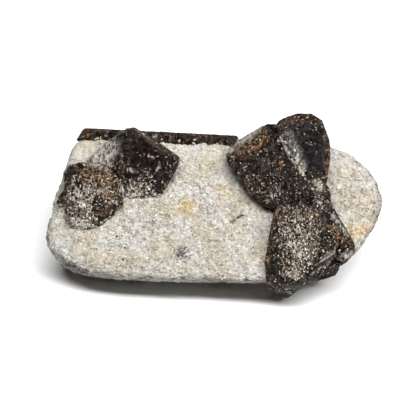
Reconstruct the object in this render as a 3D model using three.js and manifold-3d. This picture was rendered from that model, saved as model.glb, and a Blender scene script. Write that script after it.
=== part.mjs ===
// A hand specimen of staurolite crosses in pale mica schist.
//
// Millimetres, +Z up, resting on a flat underside. Four separate pieces: the schist, two twinned
// crosses that are set in it, and one long single prism along its back edge. A direction is given
// as [turn, tilt]: turn is measured from +X towards +Y and tilt up from level, in degrees.

import * as THREE from 'three';
import { ConvexGeometry } from 'three/addons/geometries/ConvexGeometry.js';
import { mergeVertices } from 'three/addons/utils/BufferGeometryUtils.js';
import Module from 'manifold-3d';

const wasm = await Module();
wasm.setup();

// ---------------------------------------------------------------- driving dimensions

// Clearance between a crystal and the socket that it sits in.
const SOCKET_GAP = 0.3;

// The plane that the specimen rests on: its normal and its height.
const FLOOR = [[0, 0, 1], 0];

// Corners closer together than this are one corner.
const WELD = 1e-4;

// The schist is a worn block: flat faces around a heart, each at its own distance from it.
// `edge` is how sharply they meet, `reach` the block's rough half size, and `detail` the mesh.
const STONE = {
  heart: [0, -2.5, 8.5],
  reach: [37, 15, 9],
  edge: 11,
  detail: 17,
  faces: {
    main: { facing: [-90, 62], distance: 6.3 },
    nose: { facing: [-88, 15], distance: 15.3 },
    under_nose: { facing: [-86, -53], distance: 11.4 },
    underside: { facing: [0, -90], distance: 9.2 },
    back: { facing: [91, 4], distance: 16.2 },
    back_top: { facing: [93, 48], distance: 21.5 },
    under_back: { facing: [90, -45], distance: 13.5 },
    left_end: { facing: [159, -20], distance: 29.1 },
    left_back: { facing: [165, 2], distance: 51.3 },
    left_front: { facing: [-116, -8], distance: 39 },
    left_low: { facing: [-113, -18], distance: 23.6 },
    left_top: { facing: [-175, 37], distance: 49 },
    right_end: { facing: [8, 5], distance: 42 },
    right_top: { facing: [32, 40], distance: 35.9 },
    right_back: { facing: [46, 0], distance: 33 },
    right_front: { facing: [-48, 20], distance: 28.1 },
    right_low: { facing: [-9, -47], distance: 22.3 },
    right_under: { facing: [-55, -40], distance: 21.1 },
  },
  lumps: [
    { size: 11, height: 0.35, seed: 3 },
    { size: 4.2, height: 0.3, seed: 8 },
  ],
  // The mica layers lie parallel to the main face and stand out as low ridges round the rim.
  layers: { facing: [-90, 62], spacing: 3.6, height: 0.25, waver: 0.4, seed: 5 },
};

// An arm's sides. The flat face rounds over into them across its bevel, and drops by BEVEL_DROP
// of the bevel. They stay full width down to WIDEST of the depth, then draw in towards the hidden
// side by HIDDEN_INSET of the smaller half width.
const BEVEL_DROP = 0.8;
const WIDEST = 0.55;
const HIDDEN_INSET = 0.38;

// Each crystal arm is a worn prism with one broad flat face. `at` is a point on that face and
// `facing` the way it looks. `outline` goes round it in [right, up] from that point, with the
// height off the face as a third number where a corner is worn down. `depth` is its thickness,
// and a `toe` adds single corners, [right, up, height], beyond the outline.
const ARMS = {
  back_prism: {
    single: {
      at: [-13.2, 10.6, 22.6], facing: [-90, 42], depth: 4.6, bevel: 0.5,
      outline: [[-18.6, -1.4], [-17.4, 1], [-16.8, 1.4], [17.2, 1.5], [17.7, 0.9], [17.7, -1.3]],
    },
  },
  left_twin: {
    upper: {
      at: [-15.3, 1.6, 22], facing: [-88, 32], depth: 9, bevel: 0.6,
      outline: [[-7, -2.7], [-6, 3.1], [-5.6, 6.4, -0.3], [-4.6, 7.4, -0.6], [-2.9, 7.6, -0.3],
        [3.9, 3.5], [7.2, 1.3, -0.2], [6.6, -0.9], [3.4, -7.2], [-4.9, -8]],
    },
    flank: {
      at: [-24.4, 3.5, 22.7], facing: [-123, 33], depth: 6, bevel: 0.4,
      outline: [[2.1, 6], [-0.7, 3], [-3.5, -1.6], [-4.3, -3.2], [-0.8, -4.4], [6.5, -3.8]],
    },
    lower: {
      at: [-26.8, -4.4, 17.6], facing: [-89, 44], depth: 8, bevel: 0.9,
      outline: [[-5.9, 2.8], [-6, 4.7, -0.8], [-5.1, 6.3, -1.2], [-2.4, 7.1, -1.4],
        [1, 6.8, -1.2], [4.4, 5.5, -0.8], [6.8, 3.1], [7.1, -1.5], [4.2, -5.1], [2.1, -7],
        [-0.8, -8.4], [-3.7, -7.4], [-5.3, -5.6]],
    },
    left_tip: {
      at: [-34, -3.5, 15.2], facing: [-146, 42], depth: 4, bevel: 0.4,
      outline: [[-0.6, 2], [-0.6, -0.2], [0, -2], [1.4, -1.9], [2.1, 1.2], [0.2, 2.6]],
    },
  },
  right_twin: {
    upper_left: {
      at: [10.4, 1.9, 22.1], facing: [-103, 46], depth: 9, bevel: 0.5,
      outline: [[-8.1, 0.4], [-9, 2.5, -1.2], [-7.6, 5.2, -2.2], [-3.6, 9, -2.2],
        [-1.3, 10.4, -1.8], [0.4, 10.6, -1.6], [3.4, 7], [13.2, -3.6], [10.5, -6.4], [4, -7.7],
        [1.6, -7.3], [-1.6, -5.9]],
    },
    upper_right: {
      at: [19.5, 4.5, 26.2], facing: [-87, 44], depth: 10, bevel: 0.8,
      outline: [[-6.2, 5, -0.4], [-5.8, 6.3, -1.2], [-4.4, 7.2, -2], [-1.8, 8.2, -2.6],
        [1.5, 8.3, -2.6], [3.7, 6.7, -2], [5.2, 2.4, -0.8], [5.5, -0.9, -0.6], [4.7, -6.9],
        [3.2, -10.2], [-1, -5.5]],
    },
    shoulder: {
      at: [24.4, -3.7, 19.2], facing: [-71, 57], depth: 8, bevel: 0.6,
      outline: [[-1.9, 2.3, -0.3], [0.3, 3.8, -0.5], [1.6, 3.2, -0.6], [1.7, 1.2, -0.3],
        [0.5, -3.7], [-3.1, -4.5], [-3.1, -0.6]],
    },
    lower: {
      at: [18.9, -12, 13.2], facing: [-93, 49], depth: 8, bevel: 0.5,
      outline: [[-5.3, 8.1, -0.4], [-0.2, 9.2, -0.3], [4.2, 8.2, -0.3], [6.2, 5.8, -0.4],
        [6.5, 1.6], [2.1, -8.3], [-1.7, -8.9], [-5.6, -8.6], [-6.4, -4.4], [-6, 1.6]],
      toe: [[-5.4, -9.6, -3.5], [-4.5, -10.6, -5.5], [-1.3, -10.9, -7], [1.2, -8.9, -4.5]],
    },
    lower_right: {
      at: [27, -9.7, 13.2], facing: [-82, 44], depth: 7, bevel: 0.4,
      outline: [[-2.5, 7.4], [-0.3, 7.5, -0.4], [2.2, 2.7, -0.6], [4.2, -0.8, -0.6],
        [4.3, -2.7, -0.5], [2.2, -4.8], [-1.3, -6.4], [-6.6, -9.3], [-7.2, -6.2], [-3.6, 1.2]],
    },
    under_step: {
      at: [24.7, -11.9, 5.6], facing: [-69, -11], depth: 7, bevel: 0.4,
      outline: [[-4.3, 5], [1.1, 5.4], [3.8, 2.5], [4, -0.4], [3.5, -2.5], [-0.8, -3.2],
        [-3.8, -3.1]],
    },
    inner_ledge: {
      at: [25, -13.2, 11.8], facing: [-82, 46], depth: 4, bevel: 0.3,
      outline: [[1.4, 6.6], [2.7, 7], [3.7, 4.8], [2, -0.3], [-2.1, -5.2], [-4.3, -5.6],
        [-0.6, 1.1]],
    },
    outer_ledge: {
      at: [29.5, -11.7, 12.3], facing: [-82, 46], depth: 4, bevel: 0.3,
      outline: [[-0.5, 3], [1.2, 2.4], [1.9, 0.5], [1.4, -0.9], [-0.6, -2.4], [-1.6, -1.7]],
    },
  },
};

const COLOURS = {
  schist_matrix: 0xcfc8bb,
  back_prism: 0x59504b,
  left_twin: 0x5c504a,
  right_twin: 0x5a4e47,
};

const ROUGHNESS = { crystal: 0.45, stone: 0.85 };

// ---------------------------------------------------------------- helpers

/** The unit vector of a [turn, tilt] direction. */
function direction([turn, tilt]) {
  const t = THREE.MathUtils.degToRad(turn);
  const e = THREE.MathUtils.degToRad(tilt);
  return new THREE.Vector3(Math.cos(t) * Math.cos(e), Math.sin(t) * Math.cos(e), Math.sin(e));
}

/** A closed three.js geometry, with its shared corners merged, as a manifold solid. */
function solid(geometry) {
  geometry.deleteAttribute('normal');
  geometry.deleteAttribute('uv');
  const merged = mergeVertices(geometry, WELD);
  return new wasm.Manifold(new wasm.Mesh({
    numProp: 3,
    vertProperties: Float32Array.from(merged.attributes.position.array),
    triVerts: Uint32Array.from(merged.index.array),
  }));
}

/** A manifold solid as a named three.js mesh. */
function piece(name, body, roughness) {
  const data = body.getMesh();
  const geometry = new THREE.BufferGeometry();
  const corners = Float32Array.from(data.vertProperties);
  geometry.setAttribute('position', new THREE.BufferAttribute(corners, 3));
  geometry.setIndex(new THREE.BufferAttribute(Uint32Array.from(data.triVerts), 1));
  geometry.computeVertexNormals();
  const colour = COLOURS[name];
  const material = new THREE.MeshStandardMaterial({ color: colour, roughness, metalness: 0 });
  const mesh = new THREE.Mesh(geometry, material);
  mesh.name = name;
  return mesh;
}

/** A repeatable number from 0 to 1 for one corner of the noise lattice. */
function lattice(i, j, k, seed) {
  let h = Math.imul(i, 374761393) ^ Math.imul(j, 668265263) ^ Math.imul(k, 1274126177);
  h = Math.imul(h ^ Math.imul(seed, 974634777), 1103515245);
  h = Math.imul(h ^ (h >>> 15), 2246822519);
  h ^= h >>> 13;
  return (h >>> 0) / 4294967295;
}

/** Smooth noise from -1 to 1 whose bumps are `size` across. */
function noise(point, size, seed) {
  const cell = point.clone().divideScalar(size);
  const low = cell.clone().floor();
  const part = cell.sub(low);
  const ease = (t) => t * t * (3 - 2 * t);
  const mix = [ease(part.x), ease(part.y), ease(part.z)];
  let sum = 0;
  for (let corner = 0; corner < 8; corner += 1) {
    const step = [corner & 1, (corner >> 1) & 1, (corner >> 2) & 1];
    const weight = step.reduce((product, s, axis) => product * (s ? mix[axis] : 1 - mix[axis]), 1);
    sum += weight * lattice(low.x + step[0], low.y + step[1], low.z + step[2], seed);
  }
  return 2 * sum - 1;
}

// ---------------------------------------------------------------- the schist

/** How far the lumps and the edges of the mica layers lift the surface at `point`. */
function relief(point, ray) {
  const { layers, lumps } = STONE;
  const bumps = lumps.map((lump) => lump.height * noise(point, lump.size, lump.seed));
  const across = direction(layers.facing);
  const waver = layers.waver * noise(point, STONE.lumps[0].size, layers.seed);
  const phase = 2 * Math.PI * (across.dot(point) / layers.spacing + waver);
  const rim = 1 - Math.abs(across.dot(ray));
  return bumps.reduce((sum, bump) => sum + bump, layers.height * rim * Math.sin(phase));
}

/** The worn block, before its underside is cut flat. */
function stone() {
  const heart = new THREE.Vector3(...STONE.heart);
  const reach = new THREE.Vector3(...STONE.reach);
  const faces = Object.values(STONE.faces).map((face) => ({
    normal: direction(face.facing),
    distance: face.distance,
  }));
  const ball = new THREE.IcosahedronGeometry(1, STONE.detail);
  const spots = ball.attributes.position;
  const ray = new THREE.Vector3();
  for (let n = 0; n < spots.count; n += 1) {
    ray.fromBufferAttribute(spots, n).multiply(reach).normalize();
    const pull = faces.map((face) => Math.max(0, face.normal.dot(ray) / face.distance));
    const radius = pull.reduce((sum, value) => sum + value ** STONE.edge, 0) ** (-1 / STONE.edge);
    const point = heart.clone().addScaledVector(ray, radius);
    point.addScaledVector(ray, relief(point, ray));
    spots.setXYZ(n, point.x, point.y, point.z);
  }
  return solid(ball);
}

// ---------------------------------------------------------------- the crystals

/**
 * One worn prism as the hull of four rings: the flat face inside its bevel, the outline, the
 * same outline at the widest part, and the narrower hidden side. `grow` moves every side out.
 */
function arm({ at, facing, outline, toe = [], depth, bevel }, grow = 0) {
  const out = direction(facing);
  const right = new THREE.Vector3(0, 0, 1).cross(out).normalize();
  const up = new THREE.Vector3().crossVectors(out, right);
  const extent = new THREE.Box2();
  outline.forEach(([u, v]) => extent.expandByPoint(new THREE.Vector2(u, v)));
  const middle = extent.getCenter(new THREE.Vector2());
  const half = extent.getSize(new THREE.Vector2()).divideScalar(2);

  const moved = ([u, v], distance) => [
    middle.x + (u - middle.x) * (1 + distance / half.x),
    middle.y + (v - middle.y) * (1 + distance / half.y),
  ];
  const ring = (inset, height) => outline.map(([u, v, worn = 0]) => [
    ...moved([u, v], -inset),
    Math.min(height, worn),
  ]);
  const corners = [
    ...ring(bevel, 0),
    ...ring(0, -BEVEL_DROP * bevel),
    ...ring(0, -WIDEST * depth),
    ...ring(HIDDEN_INSET * Math.min(half.x, half.y), -depth),
    ...toe,
  ];
  const centre = -depth / 2;
  const points = corners.map(([u, v, w]) => {
    const [across, along] = moved([u, v], grow);
    const height = centre + (w - centre) * (1 + grow / (depth / 2));
    return new THREE.Vector3(...at)
      .addScaledVector(right, across)
      .addScaledVector(up, along)
      .addScaledVector(out, height);
  });
  return solid(new ConvexGeometry(points));
}

/** The arms of one crystal grown together, each side moved out by `grow`. */
function cluster(arms, grow = 0) {
  return wasm.Manifold.union(Object.values(arms).map((one) => arm(one, grow)));
}

// ---------------------------------------------------------------- assembly

/** The specimen, each crystal clear of the ones before it and the stone clear of them all. */
function specimen() {
  const group = new THREE.Group();
  let sockets = null;
  for (const [name, arms] of Object.entries(ARMS)) {
    const whole = cluster(arms).trimByPlane(...FLOOR);
    group.add(piece(name, sockets ? whole.subtract(sockets) : whole, ROUGHNESS.crystal));
    const socket = cluster(arms, SOCKET_GAP);
    sockets = sockets ? sockets.add(socket) : socket;
  }
  const pieces = stone().trimByPlane(...FLOOR).subtract(sockets).decompose();
  const [main] = pieces.sort((one, two) => two.volume() - one.volume());
  group.add(piece('schist_matrix', main, ROUGHNESS.stone));
  return group;
}

const model = specimen();
const box = new THREE.Box3().setFromObject(model);
const centre = box.getCenter(new THREE.Vector3());
model.position.set(-centre.x, -centre.y, -box.min.z);

export default model;
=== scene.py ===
"""A hand specimen of staurolite crosses in pale mica schist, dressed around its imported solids.

Sizes and places are in millimetres in the part's own frame, +Z up, and are turned into metres
where a mesh is made. A direction is a (turn, tilt) pair: turn runs from +X towards +Y and tilt up
from level, both in degrees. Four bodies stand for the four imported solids: the schist block, the
two crosses and the long prism. Mica flakes, dark grains and the schist caught in the groove
between two arms are pieces of their own.
"""

import logging
import math
from collections.abc import Iterable
from dataclasses import dataclass
from enum import Enum
from typing import Any

import bmesh
import bpy
import numpy as np
from mathutils import Matrix, Vector
from mathutils.bvhtree import BVHTree

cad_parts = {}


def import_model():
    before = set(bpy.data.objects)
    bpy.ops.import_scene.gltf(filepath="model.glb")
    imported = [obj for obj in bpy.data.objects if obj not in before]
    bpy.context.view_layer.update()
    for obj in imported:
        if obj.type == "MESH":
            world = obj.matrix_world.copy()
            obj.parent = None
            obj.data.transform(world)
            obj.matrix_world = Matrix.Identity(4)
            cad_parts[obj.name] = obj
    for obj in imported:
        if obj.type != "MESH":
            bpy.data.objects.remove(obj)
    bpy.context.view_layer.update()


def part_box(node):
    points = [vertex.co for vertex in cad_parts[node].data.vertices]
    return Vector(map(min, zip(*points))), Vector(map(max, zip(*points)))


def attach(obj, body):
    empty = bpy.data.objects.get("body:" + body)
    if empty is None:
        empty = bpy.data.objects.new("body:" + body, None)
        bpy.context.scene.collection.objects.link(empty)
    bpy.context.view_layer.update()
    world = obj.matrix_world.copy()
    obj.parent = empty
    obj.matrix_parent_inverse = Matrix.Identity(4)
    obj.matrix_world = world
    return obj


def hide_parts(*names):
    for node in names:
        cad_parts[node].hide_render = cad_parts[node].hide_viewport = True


LOG = logging.getLogger("specimen")

MM = 0.001
MERGE_DISTANCE = MM * 1e-3
BODY = "root"

Point = tuple[float, float, float]
Heading = tuple[float, float]
Colour = tuple[float, float, float, float]


class Look(Enum):
    """The ways a surface varies from place to place, each stored on the mesh from 0 to 1."""

    SPECKLE = "speckle"
    RUST = "rust"
    POLISH = "polish"
    SILVER = "silver"
    RIDGE = "ridge"
    PALE = "pale"
    DARK = "dark"
    WORN = "worn"
    RIM = "rim"
    CRUST = "crust"
    SHADE = "shade"


class Slot(Enum):
    """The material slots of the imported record."""

    SCHIST = "mica_schist"
    STAUROLITE = "staurolite"


def linear(red: int, green: int, blue: int) -> Colour:
    """An eight-bit display colour as the linear colour that a shader takes.

    Args:
        red: The red level, 0 to 255.
        green: The green level, 0 to 255.
        blue: The blue level, 0 to 255.

    Returns:
        The linear colour with full alpha.
    """

    def undo(level: int) -> float:
        """One level made linear."""
        share = level / 255
        return share / 12.92 if share <= 0.04045 else ((share + 0.055) / 1.055) ** 2.4

    return (undo(red), undo(green), undo(blue), 1.0)


def heading(facing: Heading) -> np.ndarray:
    """The unit vector of a (turn, tilt) direction, both in degrees."""
    turn, tilt = (math.radians(angle) for angle in facing)
    return np.array(
        [math.cos(turn) * math.cos(tilt), math.sin(turn) * math.cos(tilt), math.sin(tilt)]
    )


# ------------------------------------------------------------------ nodes as expressions


class Wire:
    """A value that flows between nodes, with Python's arithmetic on it."""

    def __init__(self, canvas: "Canvas", socket: bpy.types.NodeSocket) -> None:
        """Holds one output socket of a node on a canvas."""
        self.canvas = canvas
        self.socket = socket

    def _math(self, operation: str, *values: Any) -> "Wire":
        """Adds one Math node.

        Args:
            operation: The Math node's operation.
            *values: Its inputs, each a wire or a number.

        Returns:
            The result.
        """
        inputs = dict(enumerate(values))
        return self.canvas.wire("ShaderNodeMath", {"operation": operation}, inputs)

    def __add__(self, other: Any) -> "Wire":
        """This plus other."""
        return self._math("ADD", self, other)

    __radd__ = __add__

    def __sub__(self, other: Any) -> "Wire":
        """This less other."""
        return self._math("SUBTRACT", self, other)

    def __rsub__(self, other: Any) -> "Wire":
        """Other less this."""
        return self._math("SUBTRACT", other, self)

    def __mul__(self, other: Any) -> "Wire":
        """This times other."""
        return self._math("MULTIPLY", self, other)

    __rmul__ = __mul__

    def __truediv__(self, other: Any) -> "Wire":
        """This over other."""
        return self._math("DIVIDE", self, other)

    def __rtruediv__(self, other: Any) -> "Wire":
        """Other over this."""
        return self._math("DIVIDE", other, self)

    def sine(self) -> "Wire":
        """The sine of this, in radians."""
        return self._math("SINE", self)

    def at_least(self, low: Any) -> "Wire":
        """The larger of this and low."""
        return self._math("MAXIMUM", self, low)

    def at_most(self, high: Any) -> "Wire":
        """The smaller of this and high."""
        return self._math("MINIMUM", self, high)

    def above(self, edge: Any) -> "Wire":
        """One where this is past edge, and nought elsewhere."""
        return self._math("GREATER_THAN", self, edge)

    def ramp(self, low: Any, high: Any, start: float = 0.0, end: float = 1.0) -> "Wire":
        """A smooth step.

        Args:
            low: Where the step starts.
            high: Where it ends.
            start: Its value before low.
            end: Its value past high.

        Returns:
            The step's value for this.
        """
        settings = {"interpolation_type": "SMOOTHSTEP"}
        inputs = {0: self, 1: low, 2: high, 3: start, 4: end}
        return self.canvas.wire("ShaderNodeMapRange", settings, inputs)


class Canvas:
    """Adds nodes to one tree, of a material or of Geometry Nodes."""

    def __init__(self, tree: bpy.types.NodeTree) -> None:
        """Works on tree."""
        self.tree = tree

    def node(
        self,
        kind: str,
        settings: dict[str, Any] | None = None,
        inputs: dict[Any, Any] | None = None,
    ) -> bpy.types.Node:
        """Adds one node.

        Args:
            kind: The node's type.
            settings: Its properties, set first.
            inputs: The values or wires of its sockets, by name or number.

        Returns:
            The node.
        """
        made = self.tree.nodes.new(kind)
        for name, setting in (settings or {}).items():
            setattr(made, name, setting)
        for key, value in (inputs or {}).items():
            if isinstance(value, Wire):
                self.tree.links.new(value.socket, made.inputs[key])
            else:
                made.inputs[key].default_value = value
        return made

    def wire(
        self,
        kind: str,
        settings: dict[str, Any] | None = None,
        inputs: dict[Any, Any] | None = None,
        output: int | str = 0,
    ) -> Wire:
        """Adds one node and takes one of its outputs.

        Args:
            kind: The node's type.
            settings: Its properties, set first.
            inputs: The values or wires of its sockets.
            output: Which output to take.

        Returns:
            That output.
        """
        return Wire(self, self.node(kind, settings, inputs).outputs[output])

    def vector(self, operation: str, *values: Any, output: int | str = 0) -> Wire:
        """Adds one Vector Math node.

        Args:
            operation: Its operation.
            *values: Its vectors.
            output: Which output to take.

        Returns:
            The result.
        """
        settings = {"operation": operation}
        return self.wire("ShaderNodeVectorMath", settings, dict(enumerate(values)), output)

    def dot(self, vector: Wire, along: Iterable[float]) -> Wire:
        """How far vector reaches along a fixed direction."""
        return self.vector("DOT_PRODUCT", vector, tuple(along), output="Value")

    def scaled(self, vector: Wire, factor: Any) -> Wire:
        """The vector or colour times a number."""
        inputs = {0: vector, "Scale": factor}
        return self.wire("ShaderNodeVectorMath", {"operation": "SCALE"}, inputs)

    def noise(
        self, point: Wire, size: Any, detail: float = 2.0, harsh: float = 0.5, bend: float = 0.0
    ) -> Wire:
        """Smooth noise from 0 to 1.

        Args:
            point: Where it is read, in millimetres.
            size: How far apart its bumps are.
            detail: How many finer layers it has.
            harsh: How strong they are.
            bend: How far it is twisted.

        Returns:
            The noise.
        """
        inputs = {"Vector": point, "Detail": detail, "Roughness": harsh, "Distortion": bend}
        return self.wire("ShaderNodeTexNoise", None, {**inputs, "Scale": 1 / size})

    def cells(self, point: Wire, size: Any, output: str = "Distance") -> Wire:
        """Random cells.

        Args:
            point: Where they are read, in millimetres.
            size: How wide a cell is.
            output: Distance from a cell's centre, or its Color.

        Returns:
            That output.
        """
        return self.wire("ShaderNodeTexVoronoi", None, {"Vector": point, "Scale": 1 / size}, output)

    def chance(self, point: Wire, size: Any) -> Wire:
        """A random value from 0 to 1 for each cell that is `size` wide."""
        colour = self.cells(point, size, "Color")
        return self.wire("ShaderNodeSeparateXYZ", None, {0: colour})

    def facets(self, point: Wire, size: Any) -> Wire:
        """The height of flat grains that each lean their own way.

        Args:
            point: Where they are read, in millimetres.
            size: How wide a grain is.

        Returns:
            The height of their faces, in millimetres for a slope of up to a half.
        """
        cell = self.node("ShaderNodeTexVoronoi", None, {"Vector": point, "Scale": 1 / size})
        away = self.vector("SUBTRACT", point, Wire(self, cell.outputs["Position"]))
        lean = self.vector("SUBTRACT", Wire(self, cell.outputs["Color"]), (0.5, 0.5, 0.5))
        return self.vector("DOT_PRODUCT", away, lean, output="Value")

    def blend(self, share: Any, first: Any, second: Any) -> Wire:
        """A colour between two.

        Args:
            share: How much of the second there is.
            first: The first colour.
            second: The second colour.

        Returns:
            The blend.
        """
        inputs = {0: share, 6: first, 7: second}
        return self.wire("ShaderNodeMix", {"data_type": "RGBA"}, inputs, 2)


class Paint(Canvas):
    """A material's nodes: a surface, its coordinates in millimetres, and what a mesh stores."""

    def __init__(self, name: str) -> None:
        """Makes an empty material called name."""
        self.material = bpy.data.materials.new(name)
        self.material.use_nodes = True
        super().__init__(self.material.node_tree)
        self.tree.nodes.clear()
        place = self.wire("ShaderNodeTexCoord", None, None, "Object")
        self.point = self.scaled(place, 1 / MM)

    def look(self, look: Look) -> Wire:
        """What the mesh stores for one look."""
        settings = {"attribute_type": "GEOMETRY", "attribute_name": look.value}
        return self.wire("ShaderNodeAttribute", settings, None, "Fac")

    def finish(
        self, colour: Any, roughness: Any, height: Wire | None = None, **sockets: float
    ) -> bpy.types.Material:
        """Ends the material in one surface.

        Args:
            colour: Its colour.
            roughness: Its roughness.
            height: The fine relief in millimetres, if any.
            **sockets: Constants for other sockets, with spaces written as underscores.

        Returns:
            The material.
        """
        inputs = {"Base Color": colour, "Roughness": roughness}
        inputs |= {name.replace("_", " "): value for name, value in sockets.items()}
        if height is not None:
            bump = {"Strength": 1.0, "Distance": MM, "Height": height}
            inputs["Normal"] = self.wire("ShaderNodeBump", None, bump)
        surface = self.wire("ShaderNodeBsdfPrincipled", None, inputs)
        self.node("ShaderNodeOutputMaterial", None, {"Surface": surface})
        return self.material


class Recipe(Canvas):
    """A Geometry Nodes tree that is run once on an object."""

    def __init__(self, name: str) -> None:
        """Makes an empty tree called name, with a mesh going in and one coming out."""
        super().__init__(bpy.data.node_groups.new(name, "GeometryNodeTree"))
        self.tree.interface.new_socket("Geometry", in_out="OUTPUT", socket_type="NodeSocketGeometry")
        self.tree.interface.new_socket("Geometry", in_out="INPUT", socket_type="NodeSocketGeometry")
        self.entry = self.tree.nodes.new("NodeGroupInput")

    def given(self, name: str, kind: str = "Float") -> Wire:
        """Adds a named input to the tree.

        Args:
            name: What it is called.
            kind: Float, Vector, Int, String or Material.

        Returns:
            Its value.
        """
        self.tree.interface.new_socket(name, in_out="INPUT", socket_type=f"NodeSocket{kind}")
        return Wire(self, self.entry.outputs[name])

    @property
    def shape(self) -> Wire:
        """The mesh that comes in."""
        return Wire(self, self.entry.outputs["Geometry"])

    def stored(self, name: Any) -> Wire:
        """A number that the mesh stores under name."""
        return self.wire("GeometryNodeInputNamedAttribute", {"data_type": "FLOAT"}, {"Name": name})

    def done(self, shape: Wire, material: Wire) -> None:
        """Ends the tree in real geometry with its material.

        Args:
            shape: The finished geometry.
            material: What it is covered in.
        """
        real = self.wire("GeometryNodeRealizeInstances", None, {"Geometry": shape})
        covered = {"Geometry": real, "Material": material}
        out = self.wire("GeometryNodeSetMaterial", None, covered)
        self.node("NodeGroupOutput", None, {"Geometry": out})

    def run(self, body: bpy.types.Object, values: dict[str, Any], name: str) -> bpy.types.Object:
        """Runs the tree on an object.

        Args:
            body: The object that goes in, which is left as it is.
            values: The tree's named inputs.
            name: What the result is called.

        Returns:
            A new plain mesh object.
        """
        modifier = body.modifiers.new(self.tree.name, "NODES")
        modifier.node_group = self.tree
        for socket in self.tree.interface.items_tree:
            if socket.in_out == "INPUT" and socket.name in values:
                modifier[socket.identifier] = values[socket.name]
        made = plain_copy(body, name)
        body.modifiers.remove(modifier)
        return made


# ------------------------------------------------------------------ meshes


def linked(name: str, data: bpy.types.ID) -> bpy.types.Object:
    """A new object in the scene, at the origin.

    Args:
        name: What it is called.
        data: Its mesh, camera or light.

    Returns:
        The object.
    """
    body = bpy.data.objects.new(name, data)
    bpy.context.scene.collection.objects.link(body)
    return body


def moulded(name: str, form: bmesh.types.BMesh) -> bpy.types.Object:
    """A new mesh object from a form, which is freed.

    Args:
        name: What it and its mesh are called.
        form: The form.

    Returns:
        The object.
    """
    mesh = bpy.data.meshes.new(name)
    form.to_mesh(mesh)
    form.free()
    return linked(name, mesh)


def plain_copy(body: bpy.types.Object, name: str) -> bpy.types.Object:
    """What an object's modifiers make, as a mesh object of its own.

    Args:
        body: The object.
        name: What the copy is called.

    Returns:
        The copy, linked to the scene.
    """
    body.data.update()
    graph = bpy.context.evaluated_depsgraph_get()
    mesh = bpy.data.meshes.new_from_object(
        body.evaluated_get(graph), preserve_all_data_layers=True, depsgraph=graph
    )
    mesh.name = name
    return linked(name, mesh)


def discard(*bodies: bpy.types.Object) -> None:
    """Removes working objects from the scene."""
    for body in bodies:
        bpy.data.objects.remove(body)


def remeshed(body: bpy.types.Object, voxel: float, name: str) -> bpy.types.Object:
    """An even mesh over the same form.

    Args:
        body: The object, which is discarded.
        voxel: The new mesh's spacing in millimetres.
        name: What the result is called.

    Returns:
        The new object.
    """
    modifier = body.modifiers.new("even", "REMESH")
    modifier.mode = "VOXEL"
    modifier.voxel_size = voxel * MM
    made = plain_copy(body, name)
    discard(body)
    return made


class Skin:
    """The corners of a mesh as an array, in millimetres."""

    def __init__(self, body: bpy.types.Object) -> None:
        """Reads the corners and edges of body."""
        self.mesh = body.data
        count = len(self.mesh.vertices)
        flat = np.empty(count * 3, np.float32)
        self.mesh.vertices.foreach_get("co", flat)
        self.points = flat.reshape(-1, 3).astype(float) / MM
        pairs = np.empty(len(self.mesh.edges) * 2, np.int32)
        self.mesh.edges.foreach_get("vertices", pairs)
        self.edges = pairs.reshape(-1, 2)
        self.valence = np.bincount(pairs, minlength=count)[:, None].clip(1)

    def normals(self) -> np.ndarray:
        """The mesh's own normals at its corners."""
        flat = np.empty(len(self.mesh.vertices) * 3, np.float32)
        self.mesh.vertex_normals.foreach_get("vector", flat)
        return flat.reshape(-1, 3).astype(float)

    def evened(self, values: np.ndarray, rounds: int) -> np.ndarray:
        """Values averaged with their neighbours'.

        Args:
            values: A row for each corner.
            rounds: How many times.

        Returns:
            The averaged values.
        """
        one, two = self.edges.T
        for _ in range(rounds):
            total = np.stack(
                [
                    np.bincount(one, column[two], len(values))
                    + np.bincount(two, column[one], len(values))
                    for column in values.T
                ],
                axis=1,
            )
            values = (values + total / self.valence) / 2
        return values

    def write(self) -> None:
        """Puts the points back into the mesh."""
        self.mesh.vertices.foreach_set("co", (self.points * MM).astype(np.float32).ravel())
        self.mesh.update()

    def store(self, look: Look, values: np.ndarray) -> None:
        """Stores one look on the mesh, held between 0 and 1."""
        layer = self.mesh.attributes.new(look.value, "FLOAT", "POINT")
        layer.data.foreach_set("value", values.clip(0, 1).astype(np.float32))


@dataclass(frozen=True)
class Patch:
    """A soft-edged patch round a point, or along the line to a second point.

    Attributes:
        at: Its middle, or one end.
        size: How far it reaches.
        amount: The value at its middle.
        to: The other end of a long patch.
        fade: Where its edge ends, as a share of its size.
    """

    at: Point
    size: float
    amount: float = 1.0
    to: Point | None = None
    fade: float = 1.25

    def share(self, points: np.ndarray) -> np.ndarray:
        """How much of the patch reaches each point, from 0 to 1.

        Args:
            points: The points, in millimetres.

        Returns:
            A share for each of them.
        """
        start = np.array(self.at)
        run = np.array(self.to or self.at) - start
        length = run @ run
        along = ((points - start) @ run / length).clip(0, 1) if length else np.zeros(len(points))
        away = np.linalg.norm(points - start - along[:, None] * run, axis=1) / self.size
        near = (self.fade - away).clip(0, 1)
        return near * near * (3 - 2 * near)


@dataclass(frozen=True)
class Pattern:
    """How the looks of one piece vary over its surface.

    Attributes:
        base: Each look's value away from every patch, nought where it isn't given.
        patches: The patches of each look, a later one over an earlier one.
    """

    base: dict[Look, float]
    patches: dict[Look, tuple[Patch, ...]]

    def value(self, look: Look, points: np.ndarray) -> np.ndarray:
        """One look's value at each point.

        Args:
            look: The look.
            points: The points, in millimetres.

        Returns:
            Its value at each of them.
        """
        value = np.full(len(points), self.base.get(look, 0.0))
        for patch in self.patches.get(look, ()):
            value = value + (patch.amount - value) * patch.share(points)
        return value


def labelled(sizes: dict[str, Any]) -> dict[str, Any]:
    """Values under the names of a recipe's inputs, such as Lump Size for lump_size."""
    return {name.replace("_", " ").title(): size for name, size in sizes.items()}


# ------------------------------------------------------------------ recipes


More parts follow.
